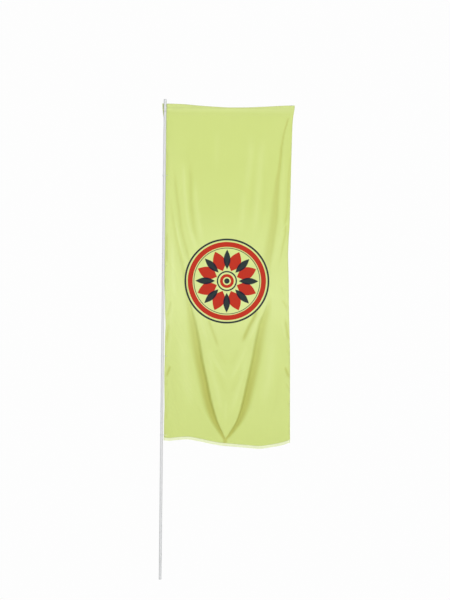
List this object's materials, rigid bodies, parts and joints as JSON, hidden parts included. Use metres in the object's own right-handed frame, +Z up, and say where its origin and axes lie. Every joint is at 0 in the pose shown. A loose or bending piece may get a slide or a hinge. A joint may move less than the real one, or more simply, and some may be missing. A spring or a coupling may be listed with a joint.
{
  "type": "banner flag with pole",
  "caption": "Tall upright cloth banner hung from a horizontal arm that swivels on top of a slender sectional tube pole, with elastic ties round the pole.",
  "frame": {"origin": "centre of the flat ground end of the foot plug, on the pole's axis", "axes": "+Z up the pole, +X from the pole towards the banner's free edge at rest, -Y out of the banner's front"},
  "size_m": [1.183, 0.0985, 4.29],
  "materials": {
    "pole_tube": "satin anodised, fine vertical draw lines",
    "foot": "turned, anodised",
    "ferrule": "mill finish",
    "rivet": "domed, plain",
    "spring_steel": "blued strip",
    "button": "turned, lightly worn",
    "bush": "acetal, natural",
    "hub": "cast and machined, satin",
    "screw": "zinc plated",
    "arm_tube": "mill finish",
    "shoe": "moulded",
    "cloth": "knitted polyester, printed",
    "hem": "woven tape, paler than the cloth",
    "webbing": "woven webbing",
    "eyelet": "nickel plated",
    "cord": "braided elastic cord",
    "ball": "moulded"
  },
  "bodies": {
    "pole": {"foot_plug": "foot", "pole_lower": "pole_tube", "pole_middle": "pole_tube", "pole_upper": "pole_tube", "ferrule_lower": "ferrule", "ferrule_upper": "ferrule", "ferrule_rivets": "rivet", "foot_rivets": "rivet", "spring_clip_lower": "spring_steel", "spring_clip_upper": "spring_steel", "head_spindle": "ferrule", "spindle_rivets": "rivet", "thrust_washer": "bush", "retaining_washer": "screw", "retaining_screw": "screw"},
    "head": {"swivel_hub": "hub", "lower_bush": "bush", "upper_bush": "bush", "head_cap": "hub", "banner_arm": "arm_tube", "arm_set_screws": "screw", "arm_root_shoe": "shoe", "arm_tip_shoe": "shoe", "banner_cloth": "cloth", "bottom_hem_tape": "hem", "hoist_webbing": "webbing", "hoist_eyelets": "eyelet", "eyelet_washers": "eyelet", "tie_cord_1": "cord", "tie_cord_2": "cord", "tie_cord_3": "cord", "tie_cord_4": "cord", "toggle_ball_1": "ball", "toggle_ball_2": "ball", "toggle_ball_3": "ball", "toggle_ball_4": "ball"},
    "button_lower": {"snap_button_lower": "button"},
    "button_upper": {"snap_button_upper": "button"}
  },
  "joints": [
    {"name": "head_swivel", "type": "hinge", "parent": "pole", "child": "head", "pos_m": [0, 0, 4.22], "axis": [0, 0, 1], "continuous": true},
    {"name": "snap_button_lower_press", "type": "slide", "parent": "pole", "child": "button_lower", "axis": [1, 0, 0], "range_m": [0, 0.0042], "stiffness_N_per_m": 2500, "deforming": ["spring_clip_lower"]},
    {"name": "snap_button_upper_press", "type": "slide", "parent": "pole", "child": "button_upper", "axis": [1, 0, 0], "range_m": [0, 0.0042], "stiffness_N_per_m": 2500, "deforming": ["spring_clip_upper"]}
  ]
}
